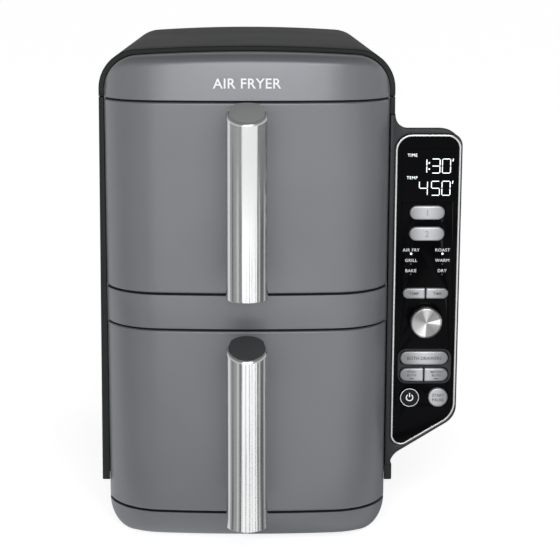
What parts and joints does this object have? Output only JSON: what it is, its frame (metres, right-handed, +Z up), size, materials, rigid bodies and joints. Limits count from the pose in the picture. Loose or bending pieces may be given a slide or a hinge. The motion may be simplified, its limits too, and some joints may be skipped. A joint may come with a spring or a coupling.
{
  "type": "air fryer",
  "caption": "Air fryer with stacked slide-out drawers, upright bar handles, hot-air fans behind each cavity and a side control pod with dial and keys.",
  "frame": {"origin": "centre of the bounding box's bottom face, on the worktop", "axes": "+Z up, -Y is the front with the drawers, +X is the side with the control pod"},
  "size_m": [0.2838, 0.47, 0.3855],
  "materials": {
    "casing_plastic": "fine matt grain, charcoal",
    "base_plastic": "matt, near black",
    "rubber": "soft matt",
    "front_plastic": "satin metallic grey paint",
    "insulation_wool": "felted mineral wool",
    "circuit_board": "solder mask",
    "inner_metal": "dull rolled sheet",
    "heater_sheath": "heat-darkened tube",
    "nonstick_metal": "dark non-stick coating",
    "handle_plastic": "fine matt grain",
    "handle_steel": "polished and brushed along the bar",
    "pod_plastic": "fine matt grain, charcoal",
    "silver_trim": "satin silver",
    "gloss_panel": "gloss black",
    "display_lens": "smoked, polished",
    "inner_plastic": "plain moulded",
    "silver_key": "satin silver paint"
  },
  "bodies": {
    "housing": {"base_pan": "base_plastic", "control_board": "circuit_board", "control_panel": "gloss_panel", "cord_gland": "rubber", "dial_encoder": "inner_plastic", "display_module": "inner_plastic", "display_window": "display_lens", "front_frame": "front_plastic", "front_left_foot": "rubber", "front_right_foot": "rubber", "left_side_panel": "casing_plastic", "lower_cavity_liner": "inner_metal", "lower_fan_guard": "inner_metal", "lower_fan_motor": "inner_metal", "lower_heat_chamber": "inner_metal", "lower_heater": "heater_sheath", "lower_vent_cover": "base_plastic", "mid_insulation": "insulation_wool", "panel_trim_ring": "silver_trim", "pod_rear_cover": "pod_plastic", "pod_shell": "pod_plastic", "power_board": "circuit_board", "rear_left_foot": "rubber", "rear_panel": "casing_plastic", "rear_right_foot": "rubber", "right_side_panel": "casing_plastic", "top_cover": "casing_plastic", "upper_cavity_liner": "inner_metal", "upper_fan_guard": "inner_metal", "upper_fan_motor": "inner_metal", "upper_heat_chamber": "inner_metal", "upper_heater": "heater_sheath", "upper_vent_cover": "base_plastic"},
    "both_zones_key": {"both_zones_button": "silver_key"},
    "dial": {"dial_knob": "silver_trim"},
    "finish_together_key": {"finish_together_button": "silver_key"},
    "lower_drawer": {"lower_basket": "nonstick_metal", "lower_drawer_front": "front_plastic", "lower_handle_cap": "handle_plastic", "lower_handle_core": "handle_plastic", "lower_handle_shell": "handle_steel"},
    "lower_rack": {"lower_crisper_plate": "nonstick_metal"},
    "lower_fan": {"lower_fan_rotor": "inner_metal"},
    "match_zones_key": {"match_zones_button": "silver_key"},
    "power_key": {"power_button": "gloss_panel"},
    "start_pause_key": {"start_pause_button": "silver_key"},
    "temperature_key": {"temperature_button": "silver_key"},
    "time_key": {"time_button": "silver_key"},
    "upper_drawer": {"upper_basket": "nonstick_metal", "upper_drawer_front": "front_plastic", "upper_handle_cap": "handle_plastic", "upper_handle_core": "handle_plastic", "upper_handle_shell": "handle_steel"},
    "upper_rack": {"upper_crisper_plate": "nonstick_metal"},
    "upper_fan": {"upper_fan_rotor": "inner_metal"},
    "zone_1_key": {"zone_1_button": "silver_key"},
    "zone_2_key": {"zone_2_button": "silver_key"}
  },
  "joints": [
    {"name": "lower_drawer_slide", "type": "slide", "parent": "housing", "child": "lower_drawer", "axis": [0, -1, 0], "range_m": [0, 0.28]},
    {"name": "lower_rack_lift", "type": "slide", "parent": "lower_drawer", "child": "lower_rack", "axis": [0, 0, 1], "range_m": [0, 0.1]},
    {"name": "lower_fan_spin", "type": "hinge", "parent": "housing", "child": "lower_fan", "pos_m": [-0.02525, 0.183, 0.102], "axis": [0, 1, 0], "continuous": true},
    {"name": "upper_drawer_slide", "type": "slide", "parent": "housing", "child": "upper_drawer", "axis": [0, -1, 0], "range_m": [0, 0.28]},
    {"name": "upper_rack_lift", "type": "slide", "parent": "upper_drawer", "child": "upper_rack", "axis": [0, 0, 1], "range_m": [0, 0.1]},
    {"name": "upper_fan_spin", "type": "hinge", "parent": "housing", "child": "upper_fan", "pos_m": [-0.02525, 0.183, 0.27665], "axis": [0, 1, 0], "continuous": true},
    {"name": "dial_turn", "type": "hinge", "parent": "housing", "child": "dial", "pos_m": [0.11545, -0.142, 0.1706], "axis": [0, 1, 0], "continuous": true},
    {"name": "zone_1_press", "type": "slide", "parent": "housing", "child": "zone_1_key", "axis": [0, 1, 0], "range_m": [0, 0.001], "stiffness_N_per_m": 600, "springref_m": -0.0015},
    {"name": "zone_2_press", "type": "slide", "parent": "housing", "child": "zone_2_key", "axis": [0, 1, 0], "range_m": [0, 0.001], "stiffness_N_per_m": 600, "springref_m": -0.0015},
    {"name": "temperature_press", "type": "slide", "parent": "housing", "child": "temperature_key", "axis": [0, 1, 0], "range_m": [0, 0.001], "stiffness_N_per_m": 600, "springref_m": -0.0015},
    {"name": "time_press", "type": "slide", "parent": "housing", "child": "time_key", "axis": [0, 1, 0], "range_m": [0, 0.001], "stiffness_N_per_m": 600, "springref_m": -0.0015},
    {"name": "both_zones_press", "type": "slide", "parent": "housing", "child": "both_zones_key", "axis": [0, 1, 0], "range_m": [0, 0.001], "stiffness_N_per_m": 600, "springref_m": -0.0015},
    {"name": "finish_together_press", "type": "slide", "parent": "housing", "child": "finish_together_key", "axis": [0, 1, 0], "range_m": [0, 0.001], "stiffness_N_per_m": 600, "springref_m": -0.0015},
    {"name": "match_zones_press", "type": "slide", "parent": "housing", "child": "match_zones_key", "axis": [0, 1, 0], "range_m": [0, 0.001], "stiffness_N_per_m": 600, "springref_m": -0.0015},
    {"name": "power_press", "type": "slide", "parent": "housing", "child": "power_key", "axis": [0, 1, 0], "range_m": [0, 0.001], "stiffness_N_per_m": 600, "springref_m": -0.0015},
    {"name": "start_pause_press", "type": "slide", "parent": "housing", "child": "start_pause_key", "axis": [0, 1, 0], "range_m": [0, 0.001], "stiffness_N_per_m": 600, "springref_m": -0.0015}
  ]
}
